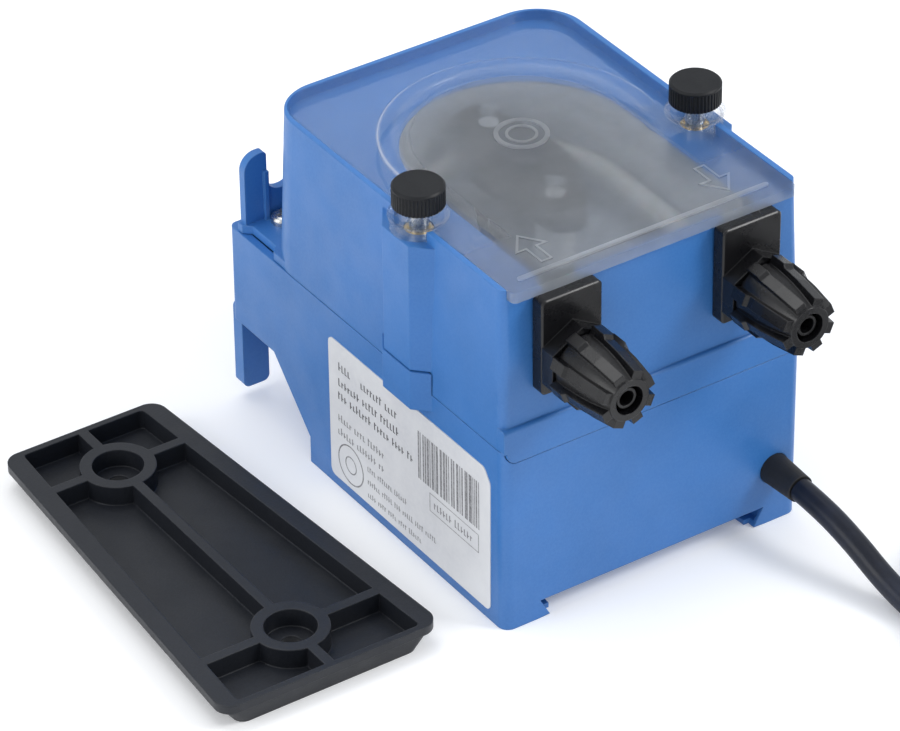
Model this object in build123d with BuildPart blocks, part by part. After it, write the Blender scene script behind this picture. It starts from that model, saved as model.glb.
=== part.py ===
"""Peristaltic dosing pump with its slide-on mounting plate, as an assembly of separate pieces.

Millimetres. Origin on the floor, on the centre line of the underside channel, at mid-length of
the base. +X to the right seen from the hose side, +Y to the rear, +Z up. The hose nuts face -Y.
"""

from build123d import *
import math
import os

os.makedirs("parts", exist_ok=True)

# ---------------------------------------------------------------- driving dimensions
BASE_W = 90.0            # base housing, left to right
BASE_D = 125.0           # base housing, front to rear
BASE_H = 53.4            # side walls of the base housing
TOP_Z = 99.0             # top of the upper housing and of the clear cover
WALL = 2.2               # moulded wall thickness
TOP_HALF = 43.7          # half width of the upper housing at its top, drawn in by the mould draft

STEP_Y = 25.8            # where the underside steps up towards the rear
REAR_Z = 25.0            # underside height at the rear
STEP_Z = 7.8             # height of the vertical part of that step
STEP_RUN = 16.6          # run of its slanted part

BAND_Z0, BAND_Z1 = 50.0, 60.0    # front band of the upper housing
LEDGE_Z = 56.0                   # rear ledge that takes the housing screws

ROTOR_Y = -5.0           # rotor axis, on the centre line
HOSE_R = 26.7            # hose centre line around the rotor, also half the fitting spacing
HOSE_OD, HOSE_ID = 6.4, 3.2
PORT_Z = 77.6            # height of the hose and fitting axes
CHAMBER_R = 30.4
CHAMBER_Z = 67.5         # pump chamber floor
DECK_T = 3.0             # chamber floor thickness
COVER_Z = 96.0           # underside of the clear cover
ROLLER_R = 5.0
ROLLER_AXIS_R = 18.2
ROTOR_ANGLE = 82.0       # resting direction of the rotor arms from +X, degrees

KNOB_X, KNOB_Y = 41.3, -21.0
KNOB_R = 6.65
KNOB_Z0, KNOB_Z1 = 102.6, 108.4

FRONT_Y = -BASE_D / 2
REAR_Y = BASE_D / 2
SIDE_X = BASE_W / 2
UPPER_FRONT = FRONT_Y + 0.9      # front and rear of the upper body at its foot
UPPER_REAR = 47.2
DRAFT_IN = 1.8                   # how far the front and rear walls lean in at the top
RUN_GAP = 0.05                   # radial clearance of a running fit
SEAM = 0.15                      # gap between mating shells
HOUSING_SCREWS = [(-34.6, 52.4), (34.6, 52.4)]
KNOBS = [(-KNOB_X, KNOB_Y), (KNOB_X, KNOB_Y)]
MOTOR_SCREWS = [(-19, 14), (19, 14), (-19, -34), (19, -34)]


def wrap(part, name):
    """Label a finished piece and write it as its own file."""
    part.label = name
    export_step(part, f"parts/{name}.step")


def rounded_outline(half_x, front, rear, front_r, rear_r):
    """Draw a rectangle with different front and rear corner radii in the active sketch."""
    with BuildLine() as sides:
        Polyline((-half_x, front), (half_x, front), (half_x, rear), (-half_x, rear), close=True)
    make_face(sides.edges())
    fillet(vertices().group_by(Axis.Y)[0], front_r)
    fillet(vertices().group_by(Axis.Y)[-1], rear_r)


def chamber_outline(radius, front, mode=Mode.ADD):
    """U-shaped outline: a round end about the rotor axis, open legs running to the front."""
    with BuildLine() as sides:
        Line((-radius, ROTOR_Y), (-radius, front))
        Line((-radius, front), (radius, front))
        Line((radius, front), (radius, ROTOR_Y))
        CenterArc((0, ROTOR_Y), radius, 0, 180)
    make_face(sides.edges(), mode=mode)


def cover_outline(gap=0.0):
    """Outline of the clear cover with its two knob ears; a positive gap draws it larger."""
    rounded_outline(41.9 + gap, FRONT_Y + 0.2 - 4 * gap, 44.0 + gap, 1.5, 10.6)
    with Locations(*KNOBS):
        Circle(7.2 + gap)


def pillar_outline():
    """Outlines of the two side pillars under the knobs."""
    for side in (-1, 1):
        with BuildLine() as sides:
            Polyline(
                (side * 42.0, -32.5), (side * 43.6, -32.0), (side * 48.4, -27.0),
                (side * 48.4, -15.5), (side * 43.6, -8.5), (side * 42.0, -8.0), close=True,
            )
        make_face(sides.edges())


# ---------------------------------------------------------------- base housing
# Channel on the underside: a tapered dovetail that wedges on the mounting plate.
PLATE_SLOPE = 8.5 / 120.6        # half-width lost per millimetre of length, plate and channel
RAIL_GAP = 30.2                  # half gap between the rail tips at the front
CHANNEL_Z = 5.4
HOOK_Z = 1.4


def channel_outline(half_front, front, rear):
    """Tapered channel outline, narrower to the rear."""
    half_rear = half_front - (rear - front) * PLATE_SLOPE
    with BuildLine() as sides:
        Polyline(
            (-half_front, front), (half_front, front), (half_rear, rear), (-half_rear, rear),
            close=True,
        )
    make_face(sides.edges())


with BuildPart() as base_housing:
    with BuildSketch(Plane.YZ.offset(-SIDE_X)):
        with BuildLine():
            Polyline(
                (FRONT_Y, 0), (STEP_Y, 0), (STEP_Y, STEP_Z), (STEP_Y + STEP_RUN, REAR_Z),
                (REAR_Y, REAR_Z), (REAR_Y, BASE_H), (FRONT_Y, BASE_H), close=True,
            )
        make_face()
    extrude(amount=BASE_W)
    fillet(base_housing.edges().filter_by(Axis.Z).group_by(Axis.Y)[0], 3.0)
    fillet(base_housing.edges().filter_by(Axis.Z).group_by(Axis.Y)[-1], 2.0)
    # Rear leg tabs
    with BuildSketch(Plane.XZ.offset(-REAR_Y)):
        with Locations((-SIDE_X + 4.2, 17.0), (SIDE_X - 4.2, 17.0)):
            RectangleRounded(7.8, 25.6, 1.8)
    extrude(amount=4.2)
    # Inside hollow, open at the top
    with BuildSketch(Plane.YZ.offset(-SIDE_X + WALL)):
        with BuildLine():
            Polyline(
                (FRONT_Y + WALL, 8.2), (STEP_Y - WALL, 8.2), (STEP_Y - WALL, STEP_Z + 1.0),
                (STEP_Y + STEP_RUN - WALL, REAR_Z + WALL + 0.4), (REAR_Y - WALL, REAR_Z + WALL),
                (REAR_Y - WALL, BASE_H + 5), (FRONT_Y + WALL, BASE_H + 5), close=True,
            )
        make_face()
    extrude(amount=BASE_W - 2 * WALL, mode=Mode.SUBTRACT)
    # Underside channel: front opening, lip gap, then the undercut behind the lips
    with BuildSketch(Plane.XZ.offset(-FRONT_Y + 1)):
        with BuildLine():
            Polyline(
                (-34.8, -1), (34.8, -1), (34.8, 0), (31.4, 0.2), (34.3, CHANNEL_Z),
                (-34.3, CHANNEL_Z), (-31.4, 0.2), (-34.8, 0), close=True,
            )
        make_face()
    extrude(amount=-3.5, mode=Mode.SUBTRACT)
    with BuildSketch(Plane.XY.offset(-1)):
        channel_outline(RAIL_GAP, FRONT_Y + 1, STEP_Y + 3)
    extrude(amount=1 + HOOK_Z, mode=Mode.SUBTRACT)
    with BuildSketch(Plane.XY.offset(HOOK_Z)):
        channel_outline(RAIL_GAP + 3.6, FRONT_Y + 1, STEP_Y + 3)
    extrude(amount=CHANNEL_Z - HOOK_Z, mode=Mode.SUBTRACT)
    # Notch in the front wall that takes the front band of the upper housing
    with BuildSketch(Plane.XZ.offset(-FRONT_Y + 1)):
        with BuildLine():
            Polyline((-44.2, 62), (-44.2, BAND_Z0), (44.2, BAND_Z0), (44.2, 62), close=True)
        make_face()
        fillet(vertices().group_by(Axis.Y)[0], 3.2)
    extrude(amount=-(WALL + 1.6), mode=Mode.SUBTRACT)
    # Side lugs under the knob pillars
    for side in (-1, 1):
        with BuildSketch(Plane.XY.offset(48.6)):
            with BuildLine():
                Polyline(
                    (side * (SIDE_X - 1), -31.6), (side * SIDE_X, -31.4), (side * 48.8, -27.4),
                    (side * 48.8, -15.2), (side * SIDE_X, -9.4), (side * (SIDE_X - 1), -9.2),
                    close=True,
                )
            make_face()
        extrude(amount=BASE_H - 48.6)
        with BuildSketch(Plane.XY.offset(BASE_H)):
            with BuildLine():
                Polyline(
                    (side * SIDE_X, -31.4), (side * 48.8, -27.4), (side * 48.8, -15.2),
                    (side * SIDE_X, -9.4), close=True,
                )
            make_face()
        extrude(amount=BAND_Z1 - 0.3 - BASE_H)
    # Screw posts for the two rear housing screws, standing on the rear floor
    with BuildSketch(Plane.XY.offset(REAR_Z + 0.5)):
        with Locations(*HOUSING_SCREWS):
            Circle(4.0)
    extrude(amount=BASE_H - REAR_Z - 0.7)
    with BuildSketch(Plane.XY.offset(38)):
        with Locations(*HOUSING_SCREWS):
            Circle(1.7)
    extrude(amount=20, mode=Mode.SUBTRACT)
    # Round hole for the cable sleeve
    with BuildSketch(Plane.XZ.offset(-FRONT_Y + 1)):
        with Locations((37.3, 16.3)):
            Circle(4.3)
    extrude(amount=-(WALL + 3), mode=Mode.SUBTRACT)
wrap(base_housing.part, "base_housing")

# ---------------------------------------------------------------- upper housing
FOOT_Z = BASE_H + SEAM
FITTINGS = [(-HOSE_R, PORT_Z), (HOSE_R, PORT_Z)]

with BuildPart() as upper_housing:
    with BuildSketch(Plane.XY.offset(FOOT_Z)):
        rounded_outline(SIDE_X - 0.1, UPPER_FRONT, UPPER_REAR, 2.5, 13.6)
    with BuildSketch(Plane.XY.offset(TOP_Z)):
        rounded_outline(TOP_HALF, UPPER_FRONT + DRAFT_IN, UPPER_REAR - DRAFT_IN, 2.0, 13.6)
    loft(ruled=True)
    # Front band, flush with the base, dipping into the notch of the front wall
    with BuildSketch(Plane.XZ.offset(-FRONT_Y)):
        with BuildLine():
            Polyline(
                (-44.0, BAND_Z0 + SEAM), (44.0, BAND_Z0 + SEAM), (44.0, FOOT_Z), (44.8, FOOT_Z),
                (44.8, BAND_Z1), (-44.8, BAND_Z1), (-44.8, FOOT_Z), (-44.0, FOOT_Z), close=True,
            )
        make_face()
        fillet(vertices().group_by(Axis.Y)[0], 3.0)
    extrude(amount=-(WALL + 1.0))
    fillet(
        upper_housing.edges().filter_by(Axis.X).group_by(Axis.Y)[0].sort_by(Axis.Z)[-1], 0.9
    )
    # Side pillars
    with BuildSketch(Plane.XY.offset(BAND_Z1)):
        pillar_outline()
    extrude(amount=COVER_Z - BAND_Z1)
    # Rear ledge and the back plate with its two ears
    with BuildSketch(Plane.XY.offset(FOOT_Z)):
        with BuildLine():
            Polyline(
                (-44.6, 30), (44.6, 30), (44.6, 41.5), (42.6, 43.5), (42.6, 54.5), (44.6, 56.5),
                (44.6, 58.5), (-44.6, 58.5), (-44.6, 56.5), (-42.6, 54.5), (-42.6, 43.5),
                (-44.6, 41.5), close=True,
            )
        make_face()
    extrude(amount=LEDGE_Z - FOOT_Z)
    with BuildSketch(Plane.XZ.offset(-58.5)):
        with BuildLine():
            Polyline(
                (-43.7, LEDGE_Z - 1), (43.7, LEDGE_Z - 1), (43.7, 76), (37, 76), (37, 63.7),
                (28.5, 63.7), (28.5, 70), (-28.5, 70), (-28.5, 63.7), (-37, 63.7), (-37, 76),
                (-43.7, 76), close=True,
            )
        make_face()
        fillet(vertices().filter_by(lambda v: v.Y > 75 and abs(v.X) > 40), 4.6)
        fillet(vertices().filter_by(lambda v: v.Y > 75 and abs(v.X) < 38), 1.2)
        fillet(vertices().filter_by(lambda v: 63 < v.Y < 64), 4.0)
        fillet(vertices().filter_by(lambda v: 69 < v.Y < 71), 2.0)
    extrude(amount=2.5)
    with BuildSketch(Plane.XY.offset(LEDGE_Z)):
        with Locations((-37.6, 55.6), (37.6, 55.6)):
            Rectangle(1.2, 1.2)
    extrude(amount=14.5)
    # Motor space, open below
    with BuildSketch(Plane.XY.offset(BAND_Z0 - 1)):
        rounded_outline(SIDE_X - 3.6, UPPER_FRONT + 3.6, UPPER_REAR - 3.4, 1.0, 10.0)
    extrude(amount=CHAMBER_Z - DECK_T - BAND_Z0 + 1, mode=Mode.SUBTRACT)
    # Hollow around the pump chamber walls, open below, under the cover deck
    with BuildSketch(Plane.XY.offset(CHAMBER_Z - DECK_T - 1)):
        rounded_outline(SIDE_X - 4.4, UPPER_FRONT + 4.6, UPPER_REAR - 4.2, 1.0, 10.0)
        chamber_outline(CHAMBER_R + WALL, -75, mode=Mode.SUBTRACT)
        with Locations((-KNOB_X + 1.5, KNOB_Y), (KNOB_X - 1.5, KNOB_Y)):
            Circle(8.0, mode=Mode.SUBTRACT)
    extrude(amount=COVER_Z - 2.5 - CHAMBER_Z + DECK_T + 1, mode=Mode.SUBTRACT)
    # Pump chamber with its two legs to the front wall
    with BuildSketch(Plane.XY.offset(CHAMBER_Z)):
        chamber_outline(CHAMBER_R, FRONT_Y + 4.9)
    extrude(amount=TOP_Z - CHAMBER_Z, mode=Mode.SUBTRACT)
    # Seat of the clear cover
    with BuildSketch(Plane.XY.offset(COVER_Z)):
        cover_outline(0.25)
    extrude(amount=TOP_Z - COVER_Z + 1, mode=Mode.SUBTRACT)
    # Slots in the front wall for the hose fittings
    with BuildSketch(Plane.XZ.offset(-FRONT_Y + 1)):
        with Locations(*FITTINGS):
            Circle(5.2)
        with Locations((-HOSE_R, PORT_Z + 12), (HOSE_R, PORT_Z + 12)):
            Rectangle(10.4, 24)
    extrude(amount=-8, mode=Mode.SUBTRACT)
    # Bores: motor shaft, motor screws, knob inserts, housing screws
    with BuildSketch(Plane.XY.offset(CHAMBER_Z - DECK_T - 1)):
        with Locations((0, ROTOR_Y)):
            Circle(6.5)
        with Locations(*MOTOR_SCREWS):
            Circle(1.6)
    extrude(amount=DECK_T + 2, mode=Mode.SUBTRACT)
    with BuildSketch(Plane.XY.offset(82)):
        with Locations(*KNOBS):
            Circle(3.75)
    extrude(amount=20, mode=Mode.SUBTRACT)
    with BuildSketch(Plane.XY.offset(FOOT_Z - 1)):
        with Locations(*HOUSING_SCREWS):
            Circle(1.7)
    extrude(amount=5, mode=Mode.SUBTRACT)
wrap(upper_housing.part, "upper_housing")

# ---------------------------------------------------------------- clear cover
RING_R = 33.9


def bead(radius, width, height, start, sweep_deg):
    """Rounded bead that stands on the cover, along an arc about the rotor axis, with domed ends."""
    for angle, way in ((start, 0), (start, -1), (start + sweep_deg, 1)):
        turn = math.radians(angle)
        middle = (radius * math.cos(turn), ROTOR_Y + radius * math.sin(turn), TOP_Z - 0.2)
        across = Plane(
            middle, x_dir=(math.cos(turn), math.sin(turn), 0),
            z_dir=(-math.sin(turn), math.cos(turn), 0),
        )
        with BuildSketch(across) as section:
            Ellipse(width / 2, height)
            if way:
                with Locations((width / 4, 0)):
                    Rectangle(width / 2, 2 * height, mode=Mode.INTERSECT)
        if way:
            revolve(section.sketch, axis=Axis(middle, (0, 0, way)), revolution_arc=180)
        else:
            revolve(section.sketch, axis=Axis((0, ROTOR_Y, 0), (0, 0, 1)), revolution_arc=sweep_deg)


COLLAR_R, COLLAR_RIM_R = 6.3, 7.7        # clear collar under each knob, and the rim round its foot

with BuildPart() as clear_cover:
    with BuildSketch(Plane.XY.offset(COVER_Z + SEAM)):
        cover_outline()
    extrude(amount=TOP_Z - COVER_Z - SEAM)
    with BuildSketch(Plane.XY.offset(TOP_Z - 1)):
        with Locations(*KNOBS):
            Circle(COLLAR_R)
    extrude(amount=KNOB_Z0 - TOP_Z + 1 - 0.2)
    with BuildSketch(Plane.XY.offset(TOP_Z + SEAM)):
        with Locations(*KNOBS):
            Circle(COLLAR_RIM_R)
    extrude(amount=1.5)
    rims = clear_cover.edges().filter_by(GeomType.CIRCLE)
    fillet(rims.filter_by(lambda e: abs(e.radius - COLLAR_RIM_R) < 0.01 and e.center().Z > TOP_Z), 0.6)
    # Rolled ring over the pump chamber, ridge along the front edge, rotor boss
    bead(RING_R, 5.0, 1.4, -12, 204)
    with BuildSketch(Plane.XY.offset(TOP_Z - 0.1)):
        with Locations((-0.8, FRONT_Y + 4.5)):
            SlotOverall(74, 1.4)
        with Locations((0, ROTOR_Y)):
            Circle(7.0)
    extrude(amount=0.8)
    with BuildSketch(Plane.XY.offset(TOP_Z + 0.2)):
        with Locations((0, ROTOR_Y)):
            Circle(5.8)
    extrude(amount=1, mode=Mode.SUBTRACT)
    with BuildSketch(Plane.XY.offset(TOP_Z + 0.1)):
        with Locations((0, ROTOR_Y)):
            Circle(4.1)
            Circle(3.4, mode=Mode.SUBTRACT)
    extrude(amount=0.5)
    # Flow arrows, raised outlines: in on the left, out on the right
    for centre_x, way in ((-27.0, 1), (27.0, -1)):
        with BuildSketch(Plane.XY.offset(TOP_Z - 0.1)):
            for inset in (0.0, 0.55):
                with BuildLine():
                    Polyline(
                        (centre_x, -48.4 + way * (6.6 - 1.8 * inset)),
                        (centre_x - 4.8 + 2.2 * inset, -48.4 + way * inset),
                        (centre_x - 1.7 + inset, -48.4 + way * inset),
                        (centre_x - 1.7 + inset, -48.4 - way * (6.4 - inset)),
                        (centre_x + 1.7 - inset, -48.4 - way * (6.4 - inset)),
                        (centre_x + 1.7 - inset, -48.4 + way * inset),
                        (centre_x + 4.8 - 2.2 * inset, -48.4 + way * inset),
                        close=True,
                    )
                make_face(mode=Mode.ADD if inset == 0.0 else Mode.SUBTRACT)
        extrude(amount=0.45)
    # Knob bores
    with BuildSketch(Plane.XY.offset(COVER_Z - 1)):
        with Locations(*KNOBS):
            Circle(2.75)
    extrude(amount=10, mode=Mode.SUBTRACT)
wrap(clear_cover.part, "clear_cover")

# ---------------------------------------------------------------- knobs and their inserts
STUD_R = 2.45
GRIP_GROOVES = 44
for name, side in (("left", -1), ("right", 1)):
    with BuildPart() as knob_cap:
        with BuildSketch(Plane.XY.offset(KNOB_Z0)):
            with Locations((side * KNOB_X, KNOB_Y)):
                Circle(KNOB_R)
        extrude(amount=KNOB_Z1 - KNOB_Z0)
        chamfer(knob_cap.edges().group_by(Axis.Z)[-1], 0.5)
        with BuildSketch(Plane.XY.offset(KNOB_Z0)):
            with Locations((side * KNOB_X, KNOB_Y)):
                with PolarLocations(KNOB_R + 0.12, GRIP_GROOVES):
                    Circle(0.34)
        extrude(amount=KNOB_Z1 - KNOB_Z0 - 0.9, mode=Mode.SUBTRACT)
        with BuildSketch(Plane.XY.offset(KNOB_Z0)):
            with Locations((side * KNOB_X, KNOB_Y)):
                Circle(STUD_R)
        extrude(amount=4.0, mode=Mode.SUBTRACT)
    wrap(knob_cap.part, f"knob_{name}")

    with BuildPart() as knob_stud:
        with BuildSketch(Plane.XY.offset(84.5)):
            with Locations((side * KNOB_X, KNOB_Y)):
                Circle(STUD_R)
        extrude(amount=KNOB_Z0 + 4.0 - 84.5)
        chamfer(knob_stud.edges().group_by(Axis.Z)[0], 0.6)
    wrap(knob_stud.part, f"knob_stud_{name}")

with BuildPart() as threaded_inserts:
    with BuildSketch(Plane.XY.offset(82.4)):
        with Locations(*KNOBS):
            Circle(3.73)
            Circle(STUD_R + RUN_GAP, mode=Mode.SUBTRACT)
    extrude(amount=COVER_Z - 0.4 - 82.4)
wrap(threaded_inserts.part, "threaded_inserts")

# ---------------------------------------------------------------- hose fittings and nuts
WALL_Y = FRONT_Y + 1.6           # outer face of the front wall, where the plates sit
PLATE_Y = FRONT_Y - 2.4          # front face of the fitting plates
HEX_Y = PLATE_Y - 4.4
NUT_TIP_Y = FRONT_Y - 26.0
HEX_FLATS = 17.6
STEM_R = 5.6
for name, side in (("left", -1), ("right", 1)):
    x = side * HOSE_R
    with BuildPart() as fitting:
        with BuildSketch(Plane.XZ.offset(-WALL_Y + 0.1)):
            with Locations((x, 82.1)):
                RectangleRounded(17.6, 27.2, 1.4)
        extrude(amount=WALL_Y - 0.1 - PLATE_Y)
        chamfer(fitting.edges().group_by(Axis.Y)[0], 0.4)
        with BuildSketch(Plane.XZ.offset(-PLATE_Y)):
            with Locations((x, PORT_Z)):
                RegularPolygon(HEX_FLATS / 2, 6, major_radius=False, rotation=30)
        extrude(amount=PLATE_Y - HEX_Y)
        with BuildSketch(Plane.XZ.offset(-HEX_Y)):
            with Locations((x, PORT_Z)):
                Circle(STEM_R)
        extrude(amount=9.2)
        with BuildSketch(Plane.XZ.offset(-HEX_Y)):
            with Locations((x, PORT_Z)):
                Circle(2.8)
        extrude(amount=HEX_Y - NUT_TIP_Y - 1.2)
        # Neck through the wall slot, inner lip and hose barb
        with BuildSketch(Plane.XZ.offset(-WALL_Y + 0.6)):
            with Locations((x, PORT_Z)):
                Circle(5.0)
            with Locations((x, PORT_Z + 8.0)):
                Rectangle(10.0, 16.0)
        extrude(amount=-4.2)
        with BuildSketch(Plane.XZ.offset(-(FRONT_Y + 5.0))):
            with Locations((side * 24.95, 81.0)):
                Rectangle(10.5, 21.0)
        extrude(amount=-2.0)
        with BuildSketch(Plane.XZ.offset(-(FRONT_Y + 5.2))):
            with Locations((x, PORT_Z)):
                Circle(HOSE_ID / 2 - 0.02)
        extrude(amount=-10.0)
        with BuildSketch(Plane.XZ.offset(-NUT_TIP_Y + 5)):
            with Locations((x, PORT_Z)):
                Circle(1.1)
        extrude(amount=-60, mode=Mode.SUBTRACT)
        with BuildSketch(Plane.XZ.offset(-NUT_TIP_Y + 5)):
            with Locations((x, PORT_Z)):
                Circle(2.05)
        extrude(amount=-20, mode=Mode.SUBTRACT)
    wrap(fitting.part, f"hose_fitting_{name}")

    with BuildPart() as nut:
        with BuildSketch(Plane.YZ.offset(x)):
            with BuildLine():
                Spline(
                    (HEX_Y - 0.3, PORT_Z + 8.2), (HEX_Y - 9.0, PORT_Z + 7.7),
                    (NUT_TIP_Y, PORT_Z + 5.6),
                )
                Polyline(
                    (NUT_TIP_Y, PORT_Z + 5.6), (NUT_TIP_Y, PORT_Z + 3.9),
                    (NUT_TIP_Y + 4.0, PORT_Z + 3.9), (NUT_TIP_Y + 9.0, PORT_Z + STEM_R + RUN_GAP),
                    (HEX_Y - 0.3, PORT_Z + STEM_R + RUN_GAP), (HEX_Y - 0.3, PORT_Z + 8.2),
                )
            make_face()
        revolve(axis=Axis((x, 0, PORT_Z), (0, 1, 0)))
        # Grip ribs: high over the rear collar, stepping down to a long tapered run
        for i in range(8):
            turn = 22.5 + 45.0 * i
            across = Plane(
                origin=(x, 0, PORT_Z),
                x_dir=(0, -1, 0),
                z_dir=(math.sin(math.radians(turn)), 0, -math.cos(math.radians(turn))),
            )
            with BuildSketch(across):
                with BuildLine():
                    Polyline(
                        (-HEX_Y + 0.3, 6.8), (-HEX_Y + 0.3, 10.2), (-HEX_Y + 5.0, 10.2),
                        (-HEX_Y + 5.8, 9.3), (-HEX_Y + 11.0, 8.9), (-NUT_TIP_Y - 0.4, 7.7),
                        (-NUT_TIP_Y - 0.4, 4.9), (-HEX_Y + 8.0, 6.6), close=True,
                    )
                make_face()
            extrude(amount=1.5, both=True)
    wrap(nut.part, f"hose_nut_{name}")

# ---------------------------------------------------------------- pump hose and its clips
HOSE_END_Y = FRONT_Y + 7.2
with BuildPart() as pump_hose:
    with BuildLine(Plane.XY.offset(PORT_Z)) as hose_path:
        Line((-HOSE_R, HOSE_END_Y), (-HOSE_R, ROTOR_Y))
        CenterArc((0, ROTOR_Y), HOSE_R, 180, -180)
        Line((HOSE_R, ROTOR_Y), (HOSE_R, HOSE_END_Y))
    with BuildSketch(Plane(origin=(-HOSE_R, HOSE_END_Y, PORT_Z), x_dir=(1, 0, 0), z_dir=(0, 1, 0))):
        Circle(HOSE_OD / 2)
        Circle(HOSE_ID / 2, mode=Mode.SUBTRACT)
    sweep(path=hose_path.line)
wrap(pump_hose.part, "pump_hose")

with BuildPart() as hose_clips:
    with BuildSketch(Plane.XZ.offset(-(HOSE_END_Y + 2.0))):
        with Locations(*FITTINGS):
            Circle(HOSE_OD / 2 + 0.45)
            Circle(HOSE_OD / 2 + 0.02, mode=Mode.SUBTRACT)
    extrude(amount=-4.0)
wrap(hose_clips.part, "hose_clips")

# ---------------------------------------------------------------- rotor
SHAFT_R = 4.0
TOP_PLATE_Z = 87.4       # underside of the rotor's top plate
arm = [
    (
        side * ROLLER_AXIS_R * math.cos(math.radians(ROTOR_ANGLE)),
        ROTOR_Y + side * ROLLER_AXIS_R * math.sin(math.radians(ROTOR_ANGLE)),
    )
    for side in (1, -1)
]


def carrier_plate(middle_r, lobe_r, lobe_at):
    """Two-ended plate: a round middle drawn out to a lobe over each roller."""
    turn = math.radians(ROTOR_ANGLE)
    plane = Plane((0, ROTOR_Y, 0), x_dir=(math.cos(turn), math.sin(turn), 0))
    with BuildSketch(plane, mode=Mode.PRIVATE) as plate:
        Circle(middle_r)
        with Locations((-lobe_at, 0), (lobe_at, 0)):
            Circle(lobe_r)
        make_hull()
    return plate.sketch


with BuildPart() as rotor_carrier:
    with BuildSketch(Plane.XY.offset(70.4)):
        add(carrier_plate(10.5, 4.6, ROLLER_AXIS_R))
    extrude(amount=2.2)
    with BuildSketch(Plane.XY.offset(TOP_PLATE_Z)):
        add(carrier_plate(12.5, 6.0, 23.2))
    extrude(amount=4.0)
    chamfer(rotor_carrier.edges().group_by(Axis.Z)[-1], 0.6)
    with BuildSketch(Plane.XY.offset(70.4)):
        with Locations((0, ROTOR_Y)):
            Circle(8.5)
    extrude(amount=TOP_PLATE_Z + 5.0 - 70.4)
    with BuildSketch(Plane.XY.offset(70)):
        with Locations((0, ROTOR_Y)):
            Circle(SHAFT_R)
        with Locations(*arm):
            Circle(1.5)
    extrude(amount=24, mode=Mode.SUBTRACT)
wrap(rotor_carrier.part, "rotor_carrier")

for name, place in zip(("a", "b"), arm):
    with BuildPart() as roller:
        with BuildSketch(Plane.XY.offset(72.8)):
            with Locations(place):
                Circle(ROLLER_R)
                Circle(1.5 + RUN_GAP, mode=Mode.SUBTRACT)
        extrude(amount=TOP_PLATE_Z - 0.2 - 72.8)
        rims = roller.edges().filter_by(GeomType.CIRCLE).filter_by(lambda e: e.radius > 2)
        chamfer(rims, 0.4)
    wrap(roller.part, f"roller_{name}")

with BuildPart() as roller_pins:
    with BuildSketch(Plane.XY.offset(70.4)):
        with Locations(*arm):
            Circle(1.5)
    extrude(amount=TOP_PLATE_Z + 4.0 - 70.4)
    with BuildSketch(Plane.XY.offset(TOP_PLATE_Z + 4.0)):
        with Locations(*arm):
            Circle(2.6)
    extrude(amount=1.4)
wrap(roller_pins.part, "roller_pins")

with BuildPart() as output_shaft:
    with BuildSketch(Plane.XY.offset(46.5)):
        with Locations((0, ROTOR_Y)):
            Circle(SHAFT_R)
    extrude(amount=TOP_PLATE_Z + 4.8 - 46.5)
    with BuildSketch(Plane.XY.offset(80)):
        with Locations((0, ROTOR_Y)):
            Circle(1.6)
    extrude(amount=14, mode=Mode.SUBTRACT)
wrap(output_shaft.part, "output_shaft")

SCREW_SEAT_Z = TOP_PLATE_Z + 5.0
with BuildPart() as rotor_screw:
    with BuildSketch(Plane.XY.offset(82)):
        with Locations((0, ROTOR_Y)):
            Circle(1.6)
    extrude(amount=SCREW_SEAT_Z - 82)
    with BuildSketch(Plane.XY.offset(SCREW_SEAT_Z)):
        with Locations((0, ROTOR_Y)):
            Circle(5.2)
    extrude(amount=2.2)
    fillet(rotor_screw.edges().group_by(Axis.Z)[-1], 1.0)
    with BuildSketch(Plane.XY.offset(SCREW_SEAT_Z + 1.2)):
        with Locations((0, ROTOR_Y)):
            Rectangle(5.2, 1.0)
            Rectangle(1.0, 5.2)
    extrude(amount=2, mode=Mode.SUBTRACT)
wrap(rotor_screw.part, "rotor_screw")

with BuildPart() as rotor_bush:
    with BuildSketch(Plane.XY.offset(CHAMBER_Z - DECK_T)):
        with Locations((0, ROTOR_Y)):
            Circle(6.45)
    extrude(amount=DECK_T)
    with BuildSketch(Plane.XY.offset(CHAMBER_Z)):
        with Locations((0, ROTOR_Y)):
            Circle(8.2)
    extrude(amount=1.6)
    with BuildSketch(Plane.XY.offset(CHAMBER_Z - DECK_T)):
        with Locations((0, ROTOR_Y)):
            Circle(SHAFT_R + RUN_GAP)
    extrude(amount=10, mode=Mode.SUBTRACT)
wrap(rotor_bush.part, "rotor_bush")

# ---------------------------------------------------------------- gear motor
MODULE = 1.0
GEAR_TEETH, PINION_TEETH = 40, 10
GEAR_SPACING = MODULE * (GEAR_TEETH + PINION_TEETH) / 2
PINION_Y = ROTOR_Y - GEAR_SPACING
GEAR_Z0, GEAR_Z1 = 54.0, 60.0


def gear_outline(centre_y, teeth, first_angle):
    """Straight-sided gear outline: a root circle with one trapezoid for each tooth."""
    pitch_r = MODULE * teeth / 2
    root_r, tip_r = pitch_r - 1.25 * MODULE, pitch_r + 0.85 * MODULE
    root_w, pitch_w, tip_w = 2.0 * MODULE, 1.30 * MODULE, 0.62 * MODULE
    with Locations((0, centre_y)):
        Circle(root_r)
    for i in range(teeth):
        turn = math.radians(first_angle + 360.0 * i / teeth)
        along, aside = (math.cos(turn), math.sin(turn)), (-math.sin(turn), math.cos(turn))
        corners = [
            (root_r - 0.4, -root_w / 2), (pitch_r, -pitch_w / 2), (tip_r, -tip_w / 2),
            (tip_r, tip_w / 2), (pitch_r, pitch_w / 2), (root_r - 0.4, root_w / 2),
        ]
        with BuildLine() as tooth:
            Polyline(
                *[(r * along[0] + w * aside[0], centre_y + r * along[1] + w * aside[1])
                  for r, w in corners],
                close=True,
            )
        make_face(tooth.edges())


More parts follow.
